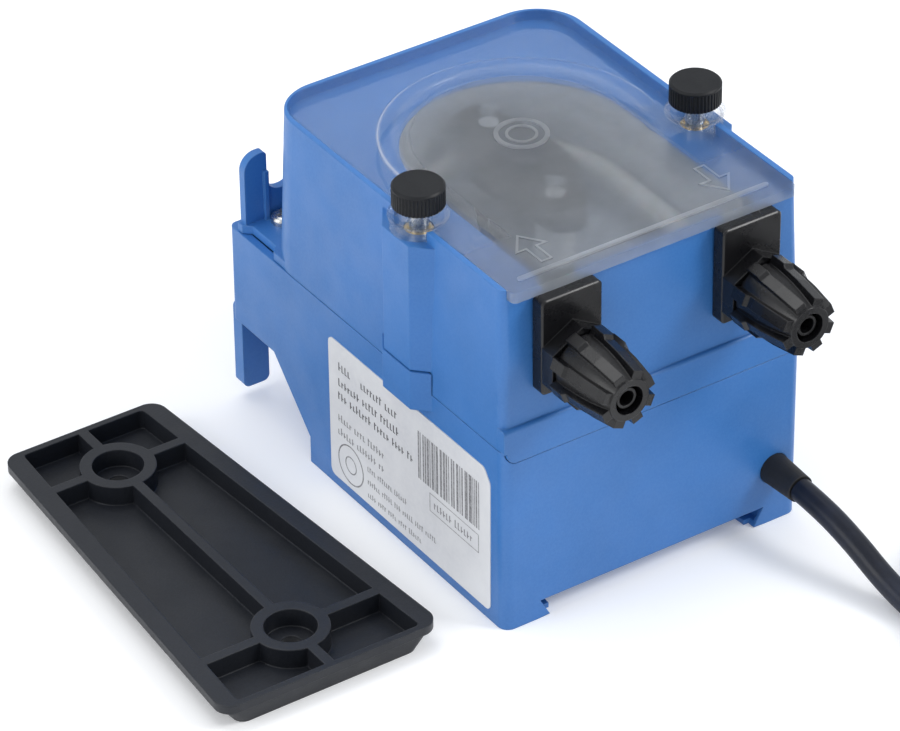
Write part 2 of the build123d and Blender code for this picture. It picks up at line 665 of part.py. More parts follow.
with BuildPart() as drive_gear:
    with BuildSketch(Plane.XY.offset(GEAR_Z0)):
        gear_outline(ROTOR_Y, GEAR_TEETH, 270.0)
    extrude(amount=GEAR_Z1 - GEAR_Z0)
    with BuildSketch(Plane.XY.offset(GEAR_Z0 - 2)):
        with Locations((0, ROTOR_Y)):
            Circle(8)
    extrude(amount=3)
    with BuildSketch(Plane.XY.offset(GEAR_Z0 - 3)):
        with Locations((0, ROTOR_Y)):
            Circle(SHAFT_R)
    extrude(amount=12, mode=Mode.SUBTRACT)
wrap(drive_gear.part, "drive_gear")

with BuildPart() as motor_pinion:
    with BuildSketch(Plane.XY.offset(GEAR_Z0 - 1)):
        gear_outline(PINION_Y, PINION_TEETH, 90.0 + 180.0 / PINION_TEETH)
    extrude(amount=GEAR_Z1 - GEAR_Z0 + 2)
    with BuildSketch(Plane.XY.offset(34)):
        with Locations((0, PINION_Y)):
            Circle(1.5)
    extrude(amount=GEAR_Z0 - 34)
wrap(motor_pinion.part, "motor_pinion")

CASE_Z0, CASE_Z1 = 44.0, CHAMBER_Z - DECK_T
with BuildPart() as gearbox_case:
    with BuildSketch(Plane.XY.offset(CASE_Z0)):
        with Locations((0, -10)):
            RectangleRounded(50, 60, 4)
    extrude(amount=CASE_Z1 - CASE_Z0)
    with BuildSketch(Plane.XY.offset(CASE_Z0 + 6)):
        with Locations((0, -9)):
            RectangleRounded(45, 55, 3)
    extrude(amount=CASE_Z1 - CASE_Z0 - 8, mode=Mode.SUBTRACT)
    with BuildSketch(Plane.XY.offset(CASE_Z0 + 2)):
        with Locations((0, ROTOR_Y)):
            Circle(SHAFT_R + RUN_GAP)
    extrude(amount=40, mode=Mode.SUBTRACT)
    with BuildSketch(Plane.XY.offset(CASE_Z0 - 1)):
        with Locations((0, PINION_Y)):
            Circle(1.5 + RUN_GAP)
    extrude(amount=10, mode=Mode.SUBTRACT)
    with BuildSketch(Plane.XY.offset(CASE_Z1 - 1.9)):
        with Locations(*MOTOR_SCREWS):
            Circle(1.6)
    extrude(amount=3, mode=Mode.SUBTRACT)
wrap(gearbox_case.part, "gearbox_case")

with BuildPart() as motor_can:
    with BuildSketch(Plane.XY.offset(18)):
        with Locations((0, PINION_Y)):
            Circle(23)
    extrude(amount=CASE_Z0 - 18)
    fillet(motor_can.edges().group_by(Axis.Z)[0], 1.5)
    with BuildSketch(Plane.XY.offset(33)):
        with Locations((0, PINION_Y)):
            Circle(1.5 + RUN_GAP)
    extrude(amount=20, mode=Mode.SUBTRACT)
wrap(motor_can.part, "motor_can")


def pan_screws(name, places, seat_z, length, head_r, shank_r):
    """A group of cross-recessed pan-head screws, heads up, seated at one height."""
    with BuildPart() as screws:
        with BuildSketch(Plane.XY.offset(seat_z - length)):
            with Locations(*places):
                Circle(shank_r)
        extrude(amount=length)
        with BuildSketch(Plane.XY.offset(seat_z)):
            with Locations(*places):
                Circle(head_r)
        extrude(amount=head_r * 0.68)
        fillet(screws.edges().group_by(Axis.Z)[-1], head_r * 0.42)
        with BuildSketch(Plane.XY.offset(seat_z + head_r * 0.34)):
            with Locations(*places):
                Rectangle(head_r * 1.05, head_r * 0.22)
                Rectangle(head_r * 0.22, head_r * 1.05)
        extrude(amount=head_r, mode=Mode.SUBTRACT)
    wrap(screws.part, name)


pan_screws("motor_screws", MOTOR_SCREWS, CHAMBER_Z, 4.8, 2.8, 1.5)
pan_screws("housing_screws", HOUSING_SCREWS, LEDGE_Z, 16.0, 3.3, 1.65)

# ---------------------------------------------------------------- terminals and cable entry
CABLE_X, CABLE_Z = 37.3, 16.3
CABLE_R = 3.2
with BuildPart() as terminal_block:
    with BuildSketch(Plane.XY.offset(8.2)):
        with Locations((32.6, -28)):
            Rectangle(16, 18)
    extrude(amount=11)
    with BuildSketch(Plane.XY.offset(12)):
        with Locations((28.6, -28), (36.6, -28)):
            Circle(2.2)
    extrude(amount=12, mode=Mode.SUBTRACT)
wrap(terminal_block.part, "terminal_block")

SLEEVE_OUT = FRONT_Y - 11.0
with BuildPart() as cable_sleeve:
    with BuildSketch(Plane.YZ.offset(CABLE_X)):
        with BuildLine():
            Polyline(
                (FRONT_Y + 12, CABLE_Z), (FRONT_Y + 12, CABLE_Z + 4.6),
                (FRONT_Y + WALL + 3.2, CABLE_Z + 5.6), (FRONT_Y + WALL + 0.1, CABLE_Z + 5.6),
                (FRONT_Y + WALL + 0.1, CABLE_Z + 4.25), (FRONT_Y, CABLE_Z + 4.25),
                (SLEEVE_OUT, CABLE_Z + 3.7), (SLEEVE_OUT, CABLE_Z), close=True,
            )
        make_face()
    revolve(axis=Axis((CABLE_X, 0, CABLE_Z), (0, 1, 0)))
wrap(cable_sleeve.part, "cable_sleeve")

# ---------------------------------------------------------------- mains cable
CABLE_LENGTH = 1500.0
COIL_X, COIL_Y = 86.4, -137.5
COIL_R = 38.4            # middle of the turns
COIL_TURNS = 5.5
COIL_PITCH = 2 * CABLE_R
COIL_OUT = COIL_R + COIL_PITCH
FLOOR_LIE = CABLE_R + 0.1


def corner_radii(points):
    """Largest tangent arc for each corner: 0.45 of the shorter run over tan(half the turn)."""
    radii = []
    for a, b, c in zip(points, points[1:], points[2:]):
        before, after = Vector(*b) - Vector(*a), Vector(*c) - Vector(*b)
        half_turn = math.radians(before.get_angle(after)) / 2
        radii.append(0.45 * min(before.length, after.length) / math.tan(half_turn))
    return radii


def cable_tube(name, points):
    """Round tube along straight runs joined by tangent arcs."""
    radii = corner_radii(points)
    with BuildPart() as tube:
        with BuildLine() as path:
            FilletPolyline(*points, radius=radii)
        way = Vector(*points[1]) - Vector(*points[0])
        with BuildSketch(Plane(origin=points[0], z_dir=way)):
            Circle(CABLE_R)
        sweep(path=path.line)
    length = sum(edge.length for edge in path.edges())
    print(name, "radii", [round(r) for r in radii], "length", round(length, 1),
          "volume ratio", round(tube.part.volume / (math.pi * CABLE_R**2 * length), 4))
    wrap(tube.part, name)
    return length


lead_points = [
    (CABLE_X, SLEEVE_OUT, CABLE_Z),
    (CABLE_X + 0.6, SLEEVE_OUT - 9.5, 15.2),
    (CABLE_X + 1.8, SLEEVE_OUT - 20.5, 11.2),
    (CABLE_X + 2.7, SLEEVE_OUT - 31.5, 6.2),
    (CABLE_X + 3.6, SLEEVE_OUT - 43.0, FLOOR_LIE),
    (CABLE_X + 4.2, SLEEVE_OUT - 53.5, FLOOR_LIE),
]
lead_length = cable_tube("mains_cable", lead_points)

with BuildPart() as mains_cable_coil:
    with BuildSketch(Plane.XY.offset(0.1)):
        with Locations((COIL_X, COIL_Y)):
            Circle(COIL_OUT + CABLE_R)
            Circle(COIL_R - COIL_PITCH - CABLE_R, mode=Mode.SUBTRACT)
    extrude(amount=2 * COIL_PITCH)
    fillet(mains_cable_coil.edges(), 2.4)
wrap(mains_cable_coil.part, "mains_cable_coil")

TAIL_X = COIL_X + COIL_OUT
tail_points = [
    (TAIL_X + 0.2, COIL_Y + 1.0, FLOOR_LIE + COIL_PITCH),
    (TAIL_X + 2.0, COIL_Y + 15.0, FLOOR_LIE + COIL_PITCH - 1.6),
    (TAIL_X + 4.2, COIL_Y + 30.0, FLOOR_LIE + 1.7),
    (TAIL_X + 5.4, COIL_Y + 45.0, FLOOR_LIE),
    (TAIL_X + 5.6, COIL_Y + 58.0, FLOOR_LIE),
]
tail_length = cable_tube("mains_cable_tail", tail_points)
coil_length = 2 * math.pi * COIL_TURNS * COIL_R
print("cable length", round(coil_length + lead_length + tail_length), "of", CABLE_LENGTH)

CORE_R = 1.15
END_X, END_Y, _ = tail_points[-1]
with BuildPart() as cable_cores:
    with BuildSketch(Plane.XZ.offset(-END_Y)):
        with Locations((END_X - 1.4, FLOOR_LIE), (END_X + 1.4, FLOOR_LIE)):
            Circle(CORE_R)
    extrude(amount=-22)
    with BuildSketch(Plane.XZ.offset(-END_Y - 18)):
        with Locations((END_X - 1.4, FLOOR_LIE), (END_X + 1.4, FLOOR_LIE)):
            Circle(CORE_R + 0.22)
    extrude(amount=-6)
wrap(cable_cores.part, "cable_cores")

# ---------------------------------------------------------------- label on the left wall
with BuildPart() as label_plate:
    with BuildSketch(Plane.YZ.offset(-SIDE_X)):
        with BuildLine():
            Polyline(
                (-56.5, 3.0), (15.5, 3.0), (15.5, 45.5), (-54.2, 45.5), (-56.8, 41.9), close=True
            )
        make_face()
        fillet(vertices().filter_by(lambda v: v.Z < 4 or v.Y > 10), 2.0)
    extrude(amount=-0.25)
wrap(label_plate.part, "label_plate")

# ---------------------------------------------------------------- mounting plate
PLATE_X, PLATE_FRONT_Y = -92.0, -57.8    # where it lies beside the pump
PLATE_L, PLATE_H = 120.6, 7.6
PLATE_HALF = 31.5                        # half-width of the flange at its wide front end
FLANGE_T = 2.4
BEVEL = 5.2
RIM = 4.4
RIB_W = 2.8
BOSS_R, SINK_R, BOLT_R = 9.9, 6.7, 2.6
BOSS_Y = (PLATE_FRONT_Y + 19.4, PLATE_FRONT_Y + 101.3)


def plate_outline(inset, corner):
    """Tapered plate outline, drawn in on all sides."""
    far_half = PLATE_HALF - PLATE_L * PLATE_SLOPE - inset
    near_half = PLATE_HALF - inset
    y0, y1 = PLATE_FRONT_Y + 0.35 * inset, PLATE_FRONT_Y + PLATE_L - 0.35 * inset
    with BuildLine() as sides:
        Polyline(
            (PLATE_X - near_half, y0), (PLATE_X + near_half, y0), (PLATE_X + far_half, y1),
            (PLATE_X - far_half, y1), close=True,
        )
    make_face(sides.edges())
    fillet(vertices(), corner)


with BuildPart() as mounting_plate:
    with BuildSketch(Plane.XY.offset(PLATE_H - FLANGE_T)):
        plate_outline(0, 4.5)
    extrude(amount=FLANGE_T)
    with BuildSketch(Plane.XY):
        plate_outline(BEVEL, 3.0)
    with BuildSketch(Plane.XY.offset(PLATE_H - FLANGE_T)):
        plate_outline(BEVEL * 0.25, 4.2)
    loft()
    # Hollow of the ribbed side, leaving rim, ribs and bosses
    with BuildSketch(Plane.XY.offset(2.0)):
        plate_outline(RIM + 0.8, 1.2)
        with Locations((PLATE_X, BOSS_Y[0]), (PLATE_X, BOSS_Y[1])):
            Circle(BOSS_R, mode=Mode.SUBTRACT)
            Rectangle(70, RIB_W, mode=Mode.SUBTRACT)
        with Locations((PLATE_X, PLATE_FRONT_Y + PLATE_L / 2)):
            Rectangle(RIB_W, 140, mode=Mode.SUBTRACT)
    extrude(amount=PLATE_H, mode=Mode.SUBTRACT)
    with Locations((PLATE_X, BOSS_Y[0], PLATE_H), (PLATE_X, BOSS_Y[1], PLATE_H)):
        CounterBoreHole(BOLT_R, SINK_R, 5.2)
wrap(mounting_plate.part, "mounting_plate")
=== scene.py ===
"""Looks of a small peristaltic dosing pump: finishes for the CAD parts, the printed label, the mains cable,
a studio floor, lights and the camera. Everything is in metres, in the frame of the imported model."""
import math
import random

import bmesh
import bpy
from mathutils import Matrix, Vector


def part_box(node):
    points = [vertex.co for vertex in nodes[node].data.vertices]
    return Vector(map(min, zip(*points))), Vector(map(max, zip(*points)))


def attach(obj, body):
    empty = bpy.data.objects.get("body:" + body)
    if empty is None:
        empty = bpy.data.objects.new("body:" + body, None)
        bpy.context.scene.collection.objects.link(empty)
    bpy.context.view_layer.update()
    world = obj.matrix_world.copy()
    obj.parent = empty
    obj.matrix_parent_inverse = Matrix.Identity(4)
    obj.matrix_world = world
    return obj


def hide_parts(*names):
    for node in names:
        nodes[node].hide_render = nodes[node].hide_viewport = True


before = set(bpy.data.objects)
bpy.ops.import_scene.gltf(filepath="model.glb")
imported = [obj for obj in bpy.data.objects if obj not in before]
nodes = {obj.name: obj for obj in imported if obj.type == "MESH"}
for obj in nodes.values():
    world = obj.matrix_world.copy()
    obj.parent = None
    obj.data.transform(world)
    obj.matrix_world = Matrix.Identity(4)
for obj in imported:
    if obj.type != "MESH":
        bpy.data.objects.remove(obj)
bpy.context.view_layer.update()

MM = 0.001
ROTOR_Y = -5.0 * MM                                   # the rotor's axis
COVER_TOP = 99.0 * MM                                 # upper face of the clear cover's sheet
CHAMBER_R = 30.7 * MM                                 # just past the wall of the pump chamber
# The chamber's wall is painted pale grey between these heights and back from this front line, as painted
# light
CHAMBER_LOW, CHAMBER_HIGH = 67.2 * MM, 95.8 * MM      # heights between which that wall is pale
CHAMBER_FRONT = -57.9 * MM                            # where the pale inside ends towards the front
# On the cover, from the chamber's middle line: where the frost gives out, and where a painted highlight line
# along each foot of the rolled ring fades in and out
FROST_EDGE = [distance * MM for distance in (27.0, 32.0)]
OUTER_FOOT = [distance * MM for distance in (34.6, 35.6, 35.8, 36.5)]
INNER_FOOT = [distance * MM for distance in (30.2, 31.0, 31.0, 32.0)]


# ------------------------------------------------------------------ small helpers
def link_object(name, data):
    made = bpy.data.objects.new(name, data)
    bpy.context.scene.collection.objects.link(made)
    return made


def mesh_object(name, bm, material, body, smooth=False):
    """A mesh piece from a bmesh, with its finish, riding on a CAD body."""
    bmesh.ops.recalc_face_normals(bm, faces=bm.faces)
    data = bpy.data.meshes.new(name)
    bm.to_mesh(data)
    bm.free()
    data.materials.append(material)
    for face in data.polygons:
        face.use_smooth = smooth
    made = link_object(name, data)
    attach(made, body)
    return made


class Finish:
    """A Principled material whose nodes are added one by one."""

    def __init__(self, name, constants):
        self.material = bpy.data.materials.new(name)
        self.material.use_nodes = True
        self.tree = self.material.node_tree
        self.shader = self.tree.nodes["Principled BSDF"]
        for socket, value in constants.items():
            self.shader.inputs[socket].default_value = value
        self.place = self.add("TexCoord").outputs["Object"]

    def add(self, kind, inputs=None, **settings):
        made = self.tree.nodes.new("ShaderNode" + kind)
        for key, value in settings.items():
            setattr(made, key, value)
        for key, value in (inputs or {}).items():
            if isinstance(value, bpy.types.NodeSocket):
                self.tree.links.new(value, made.inputs[key])
            else:
                made.inputs[key].default_value = value
        return made

    def noise(self, size, detail=2.0, stretch=(1, 1, 1)):
        """Noise from 0 to 1 with features about size metres across, drawn out along stretch."""
        grid = self.add("Mapping", {"Vector": self.place, "Scale": stretch})
        return self.add("TexNoise", {"Vector": grid.outputs[0], "Scale": 1 / size,
                                     "Detail": detail}).outputs[0]

    def spread(self, value, low, high, from_low=0.35, from_high=0.65):
        """Maps from_low to from_high onto low to high and stays at those ends; as it is, for a noise."""
        return self.add("MapRange", {"Value": value, "From Min": from_low, "From Max": from_high,
                                     "To Min": low, "To Max": high}).outputs[0]

    def math(self, operation, a, b=0.0):
        return self.add("Math", {0: a, 1: b}, operation=operation).outputs[0]

    def total(self, start, *terms):
        """A value plus each mask times its weight."""
        for mask, weight in terms:
            start = self.math("ADD", start, self.math("MULTIPLY", mask, weight))
        return start

    def between(self, value, low, high):
        """A hard mask: 1 from low to high and 0 elsewhere."""
        above = self.math("GREATER_THAN", value, low)
        return self.math("MULTIPLY", above, self.math("LESS_THAN", value, high))

    def band(self, value, edges, height=1.0):
        """A soft mask: it climbs between the first two edges and falls between the last two."""
        start, rise, fall, end = edges
        return self.math("MULTIPLY", self.spread(value, 0.0, height, start, rise),
                         self.spread(value, 1.0, 0.0, fall, end))

    def mix(self, share, a, b):
        """The colour a where share is 0 and b where it is 1, through the Mix node's colour sockets."""
        return self.add("Mix", {0: share, 6: a, 7: b}, data_type="RGBA").outputs[2]

    def bump(self, height, depth, normal=None):
        inputs = {"Height": height, "Strength": 1.0, "Distance": depth}
        if normal is not None:
            inputs["Normal"] = normal
        return self.add("Bump", inputs).outputs[0]

    def rounded(self, radius):
        """Edges rounded in the shading, and a mask that is 1 on them."""
        edge = self.add("Bevel", {"Radius": radius}, samples=6).outputs[0]
        flat = self.add("NewGeometry").outputs["Normal"]
        along = self.add("VectorMath", {0: edge, 1: flat}, operation="DOT_PRODUCT").outputs["Value"]
        return edge, self.spread(along, 1.0, 0.0, 0.80, 0.985)

    def use(self, **sockets):
        """Links nodes to the shader's sockets, which are named with underscores, and gives the material."""
        for key, value in sockets.items():
            self.tree.links.new(value, self.shader.inputs[key.replace("_", " ")])
        return self.material


# ------------------------------------------------------------------ finishes
BLUE = (0.034, 0.160, 0.455)
BLUE_PALE = (0.100, 0.265, 0.560)


def moulded(name, base, pale_wear_and_highlight, rough, extra=None, **settings):
    """A moulded plastic of its own, with extra constants for the shader."""
    return moulded_nodes(Finish(name, {"IOR": 1.5, **(extra or {})}), base, pale_wear_and_highlight, rough, **settings)


def moulded_nodes(finish, base, pale_wear_and_highlight, rough, edge=0.5 * MM, grain=0.35 * MM, depth=0.02 * MM, painted_light_lining=None):
    """Moulded plastic: a faintly cloudy colour, a fine grain, softened edges that are paler in patches,
    partly as rubbed wear and partly as a painted highlight.

    painted_light_lining is a mask and the colour that it lays over the plastic, as painted light.
    """
    cloud = finish.noise(28 * MM, 3.0)
    speck = finish.noise(0.7 * MM, 2.0)
    normal, on_edge = finish.rounded(edge)
    shade = [0.90 * channel for channel in base]
    colour = finish.mix(finish.spread(cloud, 0.0, 1.0), (*shade, 1), (*base, 1))
    colour = finish.mix(finish.spread(speck, 0.0, 0.10), colour, (*pale_wear_and_highlight, 1))
    # Paler edges in patches: partly rubbed wear, partly a painted highlight along the edges
    worn_and_highlit_edges = finish.math("MULTIPLY", on_edge, finish.spread(finish.noise(3 * MM, 4.0), 0.0, 0.55))
    colour = finish.mix(worn_and_highlit_edges, colour, (*pale_wear_and_highlight, 1))
    if painted_light_lining:
        colour = finish.mix(painted_light_lining[0], colour, painted_light_lining[1])
    gloss = finish.spread(finish.noise(9 * MM, 4.0), rough - 0.05, rough + 0.07)
    normal = finish.bump(finish.noise(grain, 2.0), depth, normal)
    return finish.use(Base_Color=colour, Roughness=gloss, Normal=normal)


def metal(name, base, rough, stretch=(1, 1, 1)):
    """Metal with fine drawn or turned lines and patches of duller surface."""
    finish = Finish(name, {"Metallic": 1.0})
    lines = finish.noise(0.5 * MM, 3.0, stretch)
    patch = finish.noise(6 * MM, 3.0)
    dull = [0.72 * channel for channel in base]
    colour = finish.mix(finish.spread(patch, 0.0, 1.0), (*dull, 1), (*base, 1))
    gloss = finish.spread(lines, rough - 0.06, rough + 0.14)
    normal, _ = finish.rounded(0.2 * MM)
    return finish.use(Base_Color=colour, Roughness=gloss, Normal=finish.bump(lines, 0.01 * MM, normal))


def chamber_distance(finish):
    """Distance from the pump chamber's middle line: round behind the rotor axis, straight in front of it."""
    axis = finish.add("SeparateXYZ", {0: finish.place})
    x, y, z = axis.outputs[0], axis.outputs[1], axis.outputs[2]
    behind = finish.math("MAXIMUM", finish.math("ADD", y, -ROTOR_Y), 0.0)
    squares = finish.math("ADD", finish.math("POWER", x, 2.0), finish.math("POWER", behind, 2.0))
    return finish.math("SQRT", squares), y, z


def frosted_cover():
    """Polycarbonate with a fine frost: it shows the deck under it clearly and the deep chamber hazily."""
    finish = Finish("cover_polycarbonate", {"IOR": 1.49, "Specular IOR Level": 0.4})
    out, y, z = chamber_distance(finish)
    over_chamber = finish.spread(out, 1.0, 0.0, *FROST_EDGE)
    near_front = finish.spread(y, 1.0, 0.0, -46 * MM, -22 * MM)
    frost = finish.math("MAXIMUM", over_chamber, near_front)
    # Painted highlight: pale lines painted along the two foot lines of the rolled ring and on the raised
    # marks, ridge and boss
    upper_side = finish.between(z, COVER_TOP - 0.5 * MM, COVER_TOP + 1.6 * MM)
    behind = finish.math("MULTIPLY", upper_side, finish.spread(y, 0.0, 1.0, -13 * MM, -7 * MM))
    feet = finish.math("ADD", finish.band(out, OUTER_FOOT), finish.band(out, INNER_FOOT, height=0.45))
    ring = finish.math("MULTIPLY", behind, feet)
    raised_highlight = finish.math("MULTIPLY", finish.spread(z, 0.0, 1.0, COVER_TOP + 0.20 * MM, COVER_TOP + 0.34 * MM),
                         finish.math("LESS_THAN", z, COVER_TOP + 0.9 * MM))
    # The painted highlight makes these lines paler and more solid in the cover
    painted_highlight = finish.total(0.0, (ring, 2.0), (raised_highlight, 0.7))
    grain = finish.noise(0.45 * MM, 3.0)
    cloud = finish.noise(13 * MM, 3.0)
    # Each starts from its value on the clear deck
    rough = finish.total(0.12, (frost, finish.spread(grain, 0.185, 0.205)))
    solid = finish.total(0.17, (frost, finish.spread(cloud, 0.20, 0.26)), (painted_highlight, 0.22))
    through = finish.total(0.93, (frost, -0.09), (painted_highlight, -0.16))
    tint = finish.mix(frost, (0.42, 0.50, 0.62, 1), (0.30, 0.35, 0.43, 1))
    # Painted highlight: a pale grey laid over the tint along those lines
    colour = finish.mix(painted_highlight, tint, (0.66, 0.69, 0.74, 1))
    fine = finish.bump(finish.math("MULTIPLY", grain, finish.math("ADD", frost, 0.2)), 0.004 * MM)
    return finish.use(Base_Color=colour, Roughness=rough, Transmission_Weight=through, Alpha=solid,
                      Normal=finish.bump(ring, 0.25 * MM, fine))


def housing_with_painted_chamber_light():
    """The blue housing plastic, with the pump chamber's wall painted pale grey: painted light for the haze
    and light that show through the frosted cover.
    """
    finish = Finish("blue_upper_plastic", {"IOR": 1.5})
    out, y, z = chamber_distance(finish)
    # Painted light: the chamber's wall is painted pale grey where the frosted cover shows it
    chamber_painted_light = finish.math("MULTIPLY", finish.math("LESS_THAN", out, CHAMBER_R),
                         finish.between(z, CHAMBER_LOW, CHAMBER_HIGH))
    chamber_painted_light = finish.math("MULTIPLY", chamber_painted_light, finish.math("GREATER_THAN", y, CHAMBER_FRONT))
    return moulded_nodes(finish, BLUE, BLUE_PALE, 0.42, edge=0.45 * MM,
                         painted_light_lining=(chamber_painted_light, (0.50, 0.54, 0.60, 1)))


def silicone_hose():
    """Milky, slightly see-through hose."""
    finish = Finish("hose_silicone", {"IOR": 1.42, "Subsurface Weight": 0.45, "Subsurface Scale": 2 * MM,
                                      "Transmission Weight": 0.25})
    haze = finish.noise(4 * MM, 3.0)
    colour = finish.mix(finish.spread(haze, 0.0, 1.0), (0.74, 0.73, 0.68, 1), (0.86, 0.85, 0.80, 1))
    return finish.use(Base_Color=colour, Roughness=finish.spread(haze, 0.28, 0.42),
                      Normal=finish.bump(finish.noise(0.5 * MM), 0.01 * MM))


def cable_jacket():
    """Soft black cable sheath with a bluish cast and faint marks along it."""
    finish = Finish("cable_jacket", {"IOR": 1.47, "Specular IOR Level": 0.35, "Coat Weight": 0.1,
                                     "Coat Roughness": 0.3})
    cloud = finish.noise(7 * MM, 4.0)
    colour = finish.mix(finish.spread(cloud, 0.0, 1.0), (0.003, 0.005, 0.013, 1), (0.007, 0.011, 0.026, 1))
    return finish.use(Base_Color=colour, Roughness=finish.spread(cloud, 0.38, 0.52),
                      Normal=finish.bump(finish.noise(0.6 * MM, 3.0), 0.03 * MM))


def core_insulation():
    """Brown insulation on one core and blue on the other, with tinned strands at the end."""
    bare_length = 7 * MM
    finish = Finish("core_insulation", {"IOR": 1.5})
    low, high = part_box("cable_cores")
    axis = finish.add("SeparateXYZ", {0: finish.place})
    side = finish.math("GREATER_THAN", axis.outputs[0], (low.x + high.x) / 2)
    bare = finish.math("GREATER_THAN", axis.outputs[1], high.y - bare_length)
    colour = finish.mix(side, (0.13, 0.045, 0.012, 1), (0.02, 0.09, 0.42, 1))
    colour = finish.mix(bare, colour, (0.62, 0.60, 0.57, 1))
    strands = finish.noise(0.3 * MM, 2.0, (1, 0.15, 1))
    return finish.use(Base_Color=colour, Roughness=finish.spread(strands, 0.30, 0.48), Metallic=bare,
                      Normal=finish.bump(strands, 0.03 * MM))


def label_film():
    """Matt, pale grey film with a faint fibre in it."""
    finish = Finish("label_film", {"IOR": 1.45, "Coat Weight": 0.25, "Coat Roughness": 0.25})
    fibre = finish.noise(1.2 * MM, 4.0)
    cloud = finish.noise(18 * MM, 3.0)
    colour = finish.mix(finish.spread(cloud, 0.0, 1.0), (0.60, 0.61, 0.64, 1), (0.68, 0.69, 0.71, 1))
    colour = finish.mix(finish.spread(fibre, 0.0, 0.25), colour, (0.74, 0.74, 0.75, 1))
    return finish.use(Base_Color=colour, Roughness=finish.spread(fibre, 0.42, 0.55),
                      Normal=finish.bump(fibre, 0.006 * MM))


def label_ink(name, tone):
    """Print that is paler in patches."""
    finish = Finish(name, {"IOR": 1.45})
    patchy = finish.noise(0.5 * MM, 3.0)
    pale = [min(1.0, channel * 2.2) for channel in tone]
    colour = finish.mix(finish.spread(patchy, 0.0, 1.0), (*tone, 1), (*pale, 1))
    return finish.use(Base_Color=colour, Roughness=finish.spread(patchy, 0.45, 0.6))


blue_plastic = moulded("blue_plastic", BLUE, BLUE_PALE, 0.42, edge=0.45 * MM)
black_fitting = moulded("black_fitting", (0.004, 0.004, 0.005), (0.020, 0.020, 0.022), 0.27,
                        edge=0.35 * MM, depth=0.03 * MM, extra={"Specular IOR Level": 0.42})
black_knob = moulded("black_knob", (0.005, 0.006, 0.008), (0.022, 0.023, 0.026), 0.48,
                     edge=0.3 * MM, extra={"Specular IOR Level": 0.28})
plate_plastic = moulded("plate_plastic", (0.010, 0.012, 0.017), (0.040, 0.043, 0.052), 0.43,
                        edge=0.6 * MM, grain=0.5 * MM, depth=0.03 * MM, extra={"Specular IOR Level": 0.38})
rubber = moulded("sleeve_rubber", (0.007, 0.007, 0.008), (0.03, 0.03, 0.032), 0.6, edge=0.4 * MM)
acetal_dark = moulded("rotor_acetal", (0.016, 0.014, 0.012), (0.045, 0.040, 0.035), 0.45)
acetal_white = moulded("roller_acetal", (0.78, 0.77, 0.73), (0.86, 0.85, 0.82), 0.38, edge=0.3 * MM)
nylon_gear = moulded("gear_nylon", (0.80, 0.77, 0.68), (0.88, 0.86, 0.78), 0.42, edge=0.15 * MM)
gearbox_grey = moulded("gearbox_plastic", (0.10, 0.10, 0.11), (0.20, 0.20, 0.21), 0.5)
polyamide = moulded("terminal_polyamide", (0.72, 0.72, 0.68), (0.84, 0.84, 0.81), 0.45)
zinc_steel = metal("zinc_steel", (0.68, 0.68, 0.66), 0.24)
motor_steel = metal("motor_steel", (0.52, 0.52, 0.53), 0.34, stretch=(1, 1, 0.06))
black_steel = metal("blackened_steel", (0.09, 0.09, 0.10), 0.40)
brass = metal("brass", (0.78, 0.58, 0.26), 0.26)

FINISH_OF = {
    "base_housing": blue_plastic,
    "upper_housing": housing_with_painted_chamber_light(),
    "clear_cover": frosted_cover(),
    "threaded_inserts": brass,
    "hose_fitting_left": black_fitting,
    "hose_fitting_right": black_fitting,
    "hose_nut_left": black_fitting,
    "hose_nut_right": black_fitting,
    "pump_hose": silicone_hose(),
    "hose_clips": zinc_steel,
    "rotor_bush": brass,
    "gearbox_case": gearbox_grey,
    "motor_can": motor_steel,
    "motor_screws": zinc_steel,
    "housing_screws": zinc_steel,
    "terminal_block": polyamide,
    "cable_sleeve": rubber,
    "cable_cores": core_insulation(),
    "label_plate": label_film(),
    "knob_left": black_knob,
    "knob_right": black_knob,
    "knob_stud_left": zinc_steel,
    "knob_stud_right": zinc_steel,
    "rotor_carrier": acetal_dark,
    "roller_pins": zinc_steel,
    "output_shaft": zinc_steel,
    "rotor_screw": black_steel,
    "drive_gear": nylon_gear,
    "roller_a": acetal_white,
    "roller_b": acetal_white,
    "motor_pinion": zinc_steel,
    "mounting_plate": plate_plastic,
}


def dress_cad_nodes():
    """Gives each CAD node its finish; the cable's own nodes are replaced by the drawn cable."""
    for name, material in FINISH_OF.items():
        node = nodes[name]
        node.data.materials.clear()
        node.data.materials.append(material)


# ------------------------------------------------------------------ printed label
INK_LIFT = 0.03 * MM            # how far the print stands off the film
LABEL_REAR = 15.5 * MM          # Y of the label's rear edge; its print runs towards -Y

# Each line of print has its start, its height up and its end, in millimetres
BOLD_LINES = ((4.6, 37.2, 10.6), (14.8, 37.2, 32.8), (4.4, 32.4, 34.0), (4.2, 28.2, 39.0))
MIDDLE_LINES = ((4.0, 21.4, 25.4), (3.8, 17.2, 26.2))
SMALL_LINES = ((17.2, 13.2, 35.5), (17.2, 9.2, 50.0), (17.2, 5.2, 42.0))
FRAMED_LINE = (47.5, 19.6, 65.0)
# Start, height up, width and height of the four sides of the frame
FRAME_SIDES = ((45.6, 18.0, 21.6, 0.22), (45.6, 23.4, 21.6, 0.22),
               (45.6, 18.0, 0.22, 5.5), (67.0, 18.0, 0.22, 5.5))
BARS_START, BARS_END, BARS_LOW, BARS_HEIGHT = 40.6, 67.6, 25.2, 14.4
RINGS_CENTRE = (9.4, 10.3)


